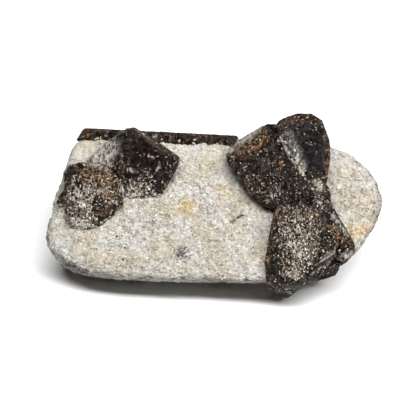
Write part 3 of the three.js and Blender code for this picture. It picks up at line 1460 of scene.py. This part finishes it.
RIGHT_CROSS = Crystal(
    name="right_cross",
    node="right_twin",
    voxel=0.24,
    rounding=2,
    swell=0.18,
    crust=0.15,
    flake_length=0.7,
    seed=31,
    crumb_seed=36,
    relief=Relief(
        lump_size=2.2,
        lump_height=0.14,
        grain_size=0.75,
        grain_height=0.2,
        pit_size=1.0,
        pit_depth=0.22,
        ridge_facing=(-38, -35),
        ridge_spacing=0.95,
        ridge_height=0.22,
    ),
    ledges=(
        Ledge((24.4, -8.5, 15.3), (26.0, -11.0, 12.0), (-10, -16), 0.65, 5.0),
        Ledge((27.9, -11.0, 12.0), (22.5, -15.0, 9.0), (-38, -35), 0.5, 2.6),
        Ledge((27.6, -12.4, 10.6), (23.6, -15.0, 8.6), (-38, -35), 0.45, 2.4),
    ),
    pattern=Pattern(
        base={Look.SPECKLE: 0.2, Look.RUST: 0.12},
        patches={
            Look.DARK: (
                # Painted shade between the lower arm and the stepped lower right arm.
                Patch((24.5, -4.6, 17.9), 0.6, 0.65, (25.0, -7.2, 16.2)),
                Patch((25.0, -7.2, 16.2), 0.6, 0.7, (24.8, -9.9, 14.2)),
                Patch((24.4, -9.6, 14.3), 1.0, 0.6, (24.2, -10.8, 13.2)),
                Patch((24.2, -10.8, 13.2), 0.5, 0.7, (22.4, -14.6, 9.6)),
                # Painted shade in the hole in the stepped arm, along the lines under its ledges and at
                # its foot.
                Patch((28.6, -10.5, 12.4), 0.85, 1.0),
                Patch((28.3, -11.0, 12.1), 0.35, 0.8, (23.0, -14.6, 9.6)),
                Patch((27.6, -12.6, 10.6), 0.4, 0.7, (23.8, -15.0, 8.8)),
                Patch((26.5, -10.0, 4.6), 3.0, 0.6, (23.0, -13.0, 5.0)),
                # Painted shade round the shoulder.
                Patch((20.3, 1.4, 21.6), 0.5, 0.9, (20.8, -2.2, 19.5)),
                Patch((23.9, 1.6, 21.4), 0.6, 0.8, (25.1, -1.0, 19.5)),
                Patch((25.1, -1.0, 19.5), 0.5, 0.7, (25.0, -3.2, 18.4)),
                # Painted shade between the upper left arm and the lower arm.
                Patch((12.2, -2.2, 17.5), 0.45, 0.9, (13.8, -2.9, 17.5)),
                Patch((13.8, -2.9, 17.5), 0.5, 0.95, (16.5, -4.3, 18.2)),
                Patch((16.5, -4.3, 18.2), 0.5, 0.95, (18.9, -4.3, 18.3)),
                Patch((18.9, -4.3, 18.3), 0.5, 0.9, (20.6, -2.6, 18.6)),
            ),
            Look.POLISH: (
                Patch((6.9, 7.6, 25.0), 4.5, 0.35),
                Patch((11.0, 4.6, 23.8), 2.6, 0.6),
            ),
            Look.RUST: (
                # The upper left arm: a browner upper band, also painted lighter where it faces the
                # light.
                Patch((4.7, 7.3, 24.1), 3.0, 0.95, (9.4, 8.6, 26.1)),
                Patch((3.0, 5.4, 19.9), 1.3, 0.9, (3.0, 6.9, 21.4)),
                Patch((13.9, 3.6, 23.4), 1.1, 0.7),
                # The upper right arm, clean in its middle and rusty along its edge.
                Patch((20.4, 6.4, 26.2), 5.5, 0.02),
                Patch((14.4, 11.5, 29.2), 1.6, 0.5, (21.9, 12.2, 29.8)),
                Patch((24.0, 9.0, 28.0), 1.3, 0.6, (24.6, 1.0, 22.0)),
                Patch((25.0, -0.8, 19.5), 0.7, 0.9, (24.9, -2.0, 18.9)),
                Patch((8.4, 0.5, 19.4), 5.0, 0.3),
                # The lower arm.
                Patch((14.4, -5.8, 17.0), 2.4, 0.5),
                Patch((18.6, -5.4, 17.5), 0.9, 1.0, (21.6, -5.4, 17.6)),
                Patch((20.4, -3.4, 18.4), 0.8, 0.9),
                Patch((12.0, -13.5, 10.2), 1.1, 0.9, (12.3, -10.0, 13.0)),
                # The stepped arm.
                Patch((26.4, -6.6, 15.4), 2.2, 0.6, (29.0, -9.6, 13.2)),
                Patch((25.8, -7.4, 15.4), 1.3, 1.0, (27.8, -9.4, 13.6)),
                Patch((30.5, -10.2, 12.0), 0.8, 0.8),
            ),
            Look.SPECKLE: (
                # The upper arms and the shoulder.
                Patch((8.4, 1.0, 19.8), 5.0, 0.28),
                Patch((13.4, -1.0, 18.6), 3.0, 0.42),
                Patch((19.9, 6.0, 26.0), 6.6, 0.05),
                Patch((22.0, 0.2, 20.7), 2.0, 1.0),
                Patch((23.0, -3.0, 18.8), 2.0, 0.7),
                # The lower arm, thick with mica.
                Patch((18.9, -8.2, 15.3), 6.4, 0.8),
                Patch((19.6, -11.5, 12.7), 4.5, 0.95),
                Patch((17.9, -14.4, 9.2), 3.4, 0.9),
                Patch((16.4, -16.3, 4.9), 2.6, 0.5),
                # The stepped arm, bare along its boundary, in its hole and at its foot.
                Patch((27.2, -8.4, 14.0), 3.0, 0.5, (25.4, -13.2, 10.2)),
                Patch((25.0, -6.2, 16.0), 0.8, 0.1, (22.6, -13.4, 10.6)),
                Patch((28.6, -10.5, 12.4), 0.8, 0.0),
                Patch((26.5, -10.0, 4.6), 3.0, 0.05, (23.0, -13.0, 5.0)),
            ),
            Look.RIDGE: (
                Patch((24.0, -13.4, 10.4), 2.4, 1.0, (27.4, -9.6, 13.4)),
            ),
            Look.SILVER: (
                # The upper arms.
                Patch((2.2, 7.5, 22.5), 1.3, 0.5, (8.3, 11.5, 27.6)),
                Patch((15.2, 8.4, 28.0), 1.3, 0.35, (18.6, 3.0, 23.6)),
                Patch((21.6, 0.8, 21.1), 1.1, 0.25, (22.8, -0.2, 20.4)),
                # The ledges of the stepped arm.
                Patch((25.8, -4.8, 16.9), 0.6, 0.8, (29.2, -7.6, 13.8)),
                Patch((27.4, -10.8, 12.6), 0.32, 0.65, (22.6, -13.8, 10.4)),
                Patch((26.6, -12.2, 11.4), 0.32, 0.55, (21.8, -15.4, 9.0)),
                Patch((26.0, -11.2, 12.4), 0.3, 0.4, (23.6, -12.8, 11.2)),
                Patch((29.2, -11.2, 11.6), 1.2, 0.6),
            ),
            Look.CRUST: (
                # Along the groove between the upper arms.
                Patch((14.3, 8.6, 27.6), 1.0, 0.4, (20.9, -0.3, 20.6)),
                Patch((12.8, 9.8, 27.8), 0.7, 0.4, (14.4, 6.9, 26.4)),
            ),
            Look.PALE: (
                Patch((28.9, -11.3, 11.6), 0.8, 0.75, (29.8, -10.8, 11.8)),
                Patch((21.4, 0.9, 21.2), 0.7, 0.3, (22.2, 0.2, 20.8)),
            ),
        },
    ),
)

LEFT_CROSS = Crystal(
    name="left_cross",
    node="left_twin",
    voxel=0.2,
    rounding=2,
    swell=0.18,
    crust=0.55,
    flake_length=0.9,
    seed=41,
    crumb_seed=46,
    relief=Relief(
        lump_size=2.0,
        lump_height=0.1,
        grain_size=0.7,
        grain_height=0.26,
        pit_size=0.9,
        pit_depth=0.4,
    ),
    pattern=Pattern(
        base={Look.SPECKLE: 0.2, Look.RUST: 0.1},
        patches={
            Look.SPECKLE: (
                # The dark upper arm, with mica along its foot and on its corners.
                Patch((-16.0, 4.3, 24.3), 6.0, 0.01),
                Patch((-15.2, 0.9, 19.4), 2.4, 0.6),
                Patch((-16.3, -0.8, 17.2), 3.0, 1.0, (-20.0, -0.6, 17.0)),
                Patch((-13.6, 3.7, 23.3), 0.5, 0.6, (-15.6, 3.9, 23.9)),
                Patch((-12.6, 3.0, 22.6), 0.5, 0.6, (-12.8, 2.6, 21.4)),
                # The rounded lower arm.
                Patch((-25.2, -0.6, 19.3), 4.6, 0.75),
                Patch((-29.5, -3.6, 17.0), 4.2, 1.0, (-29.8, -6.6, 14.2)),
                Patch((-22.6, -3.5, 17.0), 2.8, 0.7),
                Patch((-26.9, -7.4, 13.2), 2.2, 0.9),
            ),
            Look.POLISH: (
                Patch((-16.0, 4.3, 24.3), 5.4, 0.95),
            ),
            Look.RUST: (
                Patch((-20.7, 2.9, 22.9), 1.6, 0.8),
                Patch((-17.7, 1.9, 20.6), 0.7, 1.0),
                Patch((-27.8, 0.8, 20.7), 3.0, 1.0, (-24.1, 0.6, 20.2)),
                Patch((-23.0, -2.4, 18.0), 2.6, 0.5, (-23.6, -5.0, 15.2)),
            ),
            Look.PALE: (
                Patch((-19.0, 2.1, 21.2), 0.45, 1.0, (-18.4, 1.9, 20.7)),
                Patch((-28.2, 5.5, 21.3), 3.0, 1.0, (-25.2, 4.2, 21.6)),
            ),
            Look.SILVER: (
                Patch((-26.8, 4.6, 21.8), 2.5, 1.0, (-23.8, 4.9, 24.6)),
            ),
            Look.CRUST: (
                Patch((-31.0, -7.0, 13.0), 1.4, 0.6, (-28.0, -8.2, 12.4)),
            ),
        },
    ),
)

LONG_PRISM = Crystal(
    name="long_prism",
    node="back_prism",
    voxel=0.2,
    rounding=2,
    swell=0.15,
    crust=0.1,
    flake_length=0.45,
    seed=51,
    crumb_seed=56,
    relief=Relief(
        lump_size=1.6,
        lump_height=0.12,
        grain_size=0.6,
        grain_height=0.2,
        pit_size=0.8,
        pit_depth=0.12,
    ),
    pattern=Pattern(
        base={Look.SPECKLE: 0.06, Look.RUST: 0.32},
        patches={
            Look.RUST: (
                Patch((-29.8, 11.6, 22.4), 3.0, 0.6),
                Patch((-12.6, 11.4, 22.0), 1.2, 0.6),
            ),
            Look.PALE: (
                Patch((-25.7, 11.8, 22.5), 0.45, 0.9),
                Patch((-14.7, 12.1, 23.0), 0.6, 0.8),
            ),
        },
    ),
)


@dataclass
class GrooveFill:
    """The pale schist still caught in the groove between two arms of the right cross.

    Attributes:
        route: The points that it runs through.
        girth: Its half thickness at each point.
        seed: What the places of its grains are drawn from.
        step: How far apart the grains are, as a share of the way between two points.
        scatter: How far aside they lie.
        spread: The least and the greatest of them, as a share of the girth.
        voxel: The spacing of its surface.
        relief: How rough it is.
        pattern: Its looks.
    """

    route: tuple[Point, ...] = (
        (13.7, 8.1, 27.8),
        (14.9, 6.4, 26.0),
        (16.5, 4.2, 24.2),
        (18.7, 1.7, 22.1),
        (20.7, -0.6, 20.0),
    )
    girth: tuple[float, ...] = (0.5, 0.64, 0.58, 0.55, 0.5)
    seed: int = 61
    step: float = 0.04
    scatter: float = 0.32
    spread: tuple[float, float] = (0.4, 0.85)
    voxel: float = 0.16
    relief: Relief = Relief(lump_size=1.5, lump_height=0.45, grain_size=0.6, grain_height=0.3)
    pattern: Pattern = Pattern(base={Look.DARK: 0.5, Look.RUST: 0.4}, patches={})

    def build(self, relief: Recipe, material: bpy.types.Material) -> bpy.types.Object:
        """Makes the fill.

        Args:
            relief: The recipe that roughens it.
            material: What it is covered in.

        Returns:
            The finished piece.
        """
        grains = bmesh.new()
        route, girth = np.array(self.route), np.array(self.girth)
        legs = np.arange(len(route))
        draw = np.random.default_rng(self.seed)
        for along in np.arange(0, len(route) - 0.99, self.step):
            aside = draw.uniform(-self.scatter, self.scatter, 3)
            place = [(np.interp(along, legs, route[:, i]) + aside[i]) * MM for i in range(3)]
            radius = float(np.interp(along, legs, girth)) * draw.uniform(*self.spread) * MM
            spot = Matrix.Translation(place)
            bmesh.ops.create_icosphere(grains, subdivisions=2, radius=radius, matrix=spot)
        base = remeshed(moulded("groove_grains", grains), self.voxel, "groove_even")
        skin = Skin(base)
        for look in (Look.RIM, Look.POLISH, Look.RIDGE, Look.DARK, Look.RUST):
            skin.store(look, self.pattern.value(look, skin.points))
        piece = relief.run(base, self.relief.values(material), "groove_fill")
        discard(base)
        return piece


# ------------------------------------------------------------------ flakes and grains


@dataclass
class Flakes:
    """Small flat crystals scattered over one piece.

    Attributes:
        name: What the piece of flakes is called.
        look: The look that they follow.
        density: How many there are on a square millimetre at full strength.
        length: Their longest side.
        width: Their middle side.
        thickness: Their shortest side.
        tilt: How far they lean, in radians.
        seed: What their places are drawn from.
        floor_gap: How high above the floor the lowest of them is.
    """

    name: str
    look: Look
    density: float
    length: float
    width: float
    thickness: float
    tilt: float
    seed: int
    floor_gap: float = 0.7

    def build(
        self, recipe: Recipe, body: bpy.types.Object, material: bpy.types.Material
    ) -> bpy.types.Object:
        """Scatters the flakes.

        Args:
            recipe: The scattering recipe.
            body: The piece that they lie on.
            material: What they are covered in.

        Returns:
            The finished piece.
        """
        values = labelled(vars(self)) | {"Material": material, "Look": self.look.value}
        return recipe.run(body, values, self.name)


SCHIST_MICA = Flakes(
    name="schist_mica",
    look=Look.SPECKLE,
    density=2.4,
    length=0.45,
    width=0.3,
    thickness=0.08,
    tilt=0.6,
    seed=11,
)
BLACK_GRAINS = Flakes(
    name="schist_black_grains",
    look=Look.DARK,
    density=3.0,
    length=0.5,
    width=0.28,
    thickness=0.12,
    tilt=0.4,
    seed=21,
)
WHITE_MICA = FlakeFinish(
    "white_mica", linear(96, 82, 64), linear(164, 153, 137), linear(234, 232, 228)
)
BLACK_MICA = FlakeFinish("black_mica", linear(28, 28, 30), linear(58, 58, 62), linear(96, 96, 100))
CRYSTAL_MICA = FlakeFinish(
    "crystal_mica", linear(72, 62, 50), linear(136, 122, 104), linear(238, 236, 232)
)


def crystal_bits(crystal: Crystal) -> tuple[Flakes, Flakes]:
    """The mica flakes and the crumbs of schist that lie on one crystal.

    Args:
        crystal: The crystal.

    Returns:
        The flakes and the crumbs, not yet built.
    """
    flakes = Flakes(
        name=f"{crystal.name}_mica",
        look=Look.SPECKLE,
        density=4.5,
        length=crystal.flake_length,
        width=0.22,
        thickness=0.1,
        tilt=0.5,
        seed=crystal.seed,
    )
    crumbs = Flakes(
        name=f"{crystal.name}_crumbs",
        look=Look.CRUST,
        density=5.0,
        length=0.6,
        width=0.45,
        thickness=0.32,
        tilt=0.3,
        seed=crystal.crumb_seed,
    )
    return flakes, crumbs


# ------------------------------------------------------------------ camera, light and floor


@dataclass
class Studio:
    """The camera, the lights and the pale floor.

    Attributes:
        target: The point that the camera looks at.
        azimuth: How far the camera stands to the right of the front, in degrees.
        elevation: How far above level it stands, in degrees.
        distance: How far it stands from the target.
        scale: Picture points for each millimetre at the target.
        frame: The picture's width in points.
        sensor: The width of the camera's sensor.
        clip: The nearest and the farthest that the camera sees, in metres.
        floor_half: Half the floor's width, in metres.
        aim: The point that both lamps face, in metres.
        key_place: Where the long panel overhead hangs, in metres.
        key_size: Its width and depth, in metres.
        key_power: Its power in watts.
        fill_place: Where the weak panel to the right hangs, in metres.
        fill_size: Its width and depth, in metres.
        fill_power: Its power in watts.
        world_light: How bright the surround is.
    """

    target: Point = (-1.8, 1.21, 12.0)
    azimuth: float = 5.0
    elevation: float = 40.0
    distance: float = 320.0
    scale: float = 4.493
    frame: int = 416
    sensor: float = 36.0
    clip: tuple[float, float] = (0.01, 20.0)
    floor_half: float = 1.5
    aim: Point = (0.0, 0.0, 0.01)
    key_place: Point = (0.12, -0.035, 0.42)
    key_size: tuple[float, float] = (0.78, 0.17)
    key_power: float = 5.4
    fill_place: Point = (0.55, -0.05, 0.3)
    fill_size: tuple[float, float] = (0.4, 0.3)
    fill_power: float = 0.42
    world_light: float = 0.011

    def camera(self) -> None:
        """Makes the camera."""
        turn, rise = math.radians(self.azimuth), math.radians(self.elevation)
        back = Vector(
            (math.sin(turn) * math.cos(rise), -math.cos(turn) * math.cos(rise), math.sin(rise))
        )
        lens = bpy.data.cameras.new("camera")
        lens.sensor_width = self.sensor
        lens.lens = self.sensor * self.scale * self.distance / self.frame
        lens.clip_start, lens.clip_end = self.clip
        stand = linked("camera", lens)
        stand.location = (Vector(self.target) + back * self.distance) * MM
        stand.rotation_mode = "QUATERNION"
        stand.rotation_quaternion = (-back).to_track_quat("-Z", "Y")
        bpy.context.scene.camera = stand

    def lamp(self, name: str, place: Point, size: tuple[float, float], power: float) -> None:
        """Makes one soft panel of light.

        Args:
            name: What it is called.
            place: Where it hangs, in metres.
            size: Its width and depth, in metres.
            power: Its power in watts.
        """
        panel = bpy.data.lights.new(name, "AREA")
        panel.shape = "RECTANGLE"
        panel.size, panel.size_y = size
        panel.energy = power
        lamp = linked(name, panel)
        lamp.location = place
        beam = (Vector(self.aim) - Vector(place)).normalized()
        width = (Vector((1, 0, 0)) - beam * beam.x).normalized()
        turned = Matrix((width, width.cross(beam), -beam)).transposed()
        lamp.rotation_mode = "QUATERNION"
        lamp.rotation_quaternion = turned.to_quaternion()

    def lights(self) -> None:
        """Makes a long panel overhead, a weak one to the right, and a dim surround."""
        self.lamp("key", self.key_place, self.key_size, self.key_power)
        self.lamp("fill", self.fill_place, self.fill_size, self.fill_power)
        world = bpy.data.worlds.new("surround")
        world.use_nodes = True
        shade = world.node_tree.nodes["Background"]
        shade.inputs["Color"].default_value = (1.0, 1.0, 1.0, 1.0)
        shade.inputs["Strength"].default_value = self.world_light
        bpy.context.scene.world = world
        bpy.context.scene.view_settings.view_transform = "Standard"

    def floor(self) -> None:
        """Makes the floor."""
        half = self.floor_half
        mesh = bpy.data.meshes.new("floor")
        corners = [(-half, -half, 0), (half, -half, 0), (half, half, 0), (-half, half, 0)]
        mesh.from_pydata(corners, [], [(0, 1, 2, 3)])
        paint = Paint("floor")
        mesh.materials.append(paint.finish(linear(243, 243, 243), 0.9, Specular_IOR_Level=0.1))
        floor = linked("floor", mesh)


# ------------------------------------------------------------------ assembly


def settle(piece: bpy.types.Object, slot: Slot, *nodes: str) -> None:
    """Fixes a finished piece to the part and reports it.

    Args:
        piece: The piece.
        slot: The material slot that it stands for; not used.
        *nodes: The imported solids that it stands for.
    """
    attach(piece, BODY)
    if nodes:
        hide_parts(*nodes)
    piece.data.calc_loop_triangles()
    LOG.info("%s: %d triangles", piece.name, len(piece.data.loop_triangles))


def main() -> None:
    """Builds the specimen piece by piece."""
    logging.basicConfig(level=logging.INFO, format="%(name)s: %(message)s")
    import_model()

    studio = Studio()
    studio.camera()
    studio.lights()
    studio.floor()

    relief, flaked, crumbled = relief_recipe(), scatter_recipe(False), scatter_recipe(True)
    schist, staurolite = SchistFinish().material(), StauroliteFinish().material()

    block = SchistBlock().build(relief, schist)
    settle(block, Slot.SCHIST, "schist_matrix")
    settle(SCHIST_MICA.build(flaked, block, WHITE_MICA.material()), Slot.SCHIST)
    settle(BLACK_GRAINS.build(flaked, block, BLACK_MICA.material()), Slot.SCHIST)

    crystal_mica = CRYSTAL_MICA.material()
    for crystal in (RIGHT_CROSS, LEFT_CROSS, LONG_PRISM):
        piece = crystal.build(relief, staurolite, block)
        settle(piece, Slot.STAUROLITE, crystal.node)
        flakes, crumbs = crystal_bits(crystal)
        settle(flakes.build(flaked, piece, crystal_mica), Slot.SCHIST)
        settle(crumbs.build(crumbled, piece, schist), Slot.SCHIST)
    settle(GrooveFill().build(relief, schist), Slot.SCHIST)


if __name__ == "__main__":
    main()
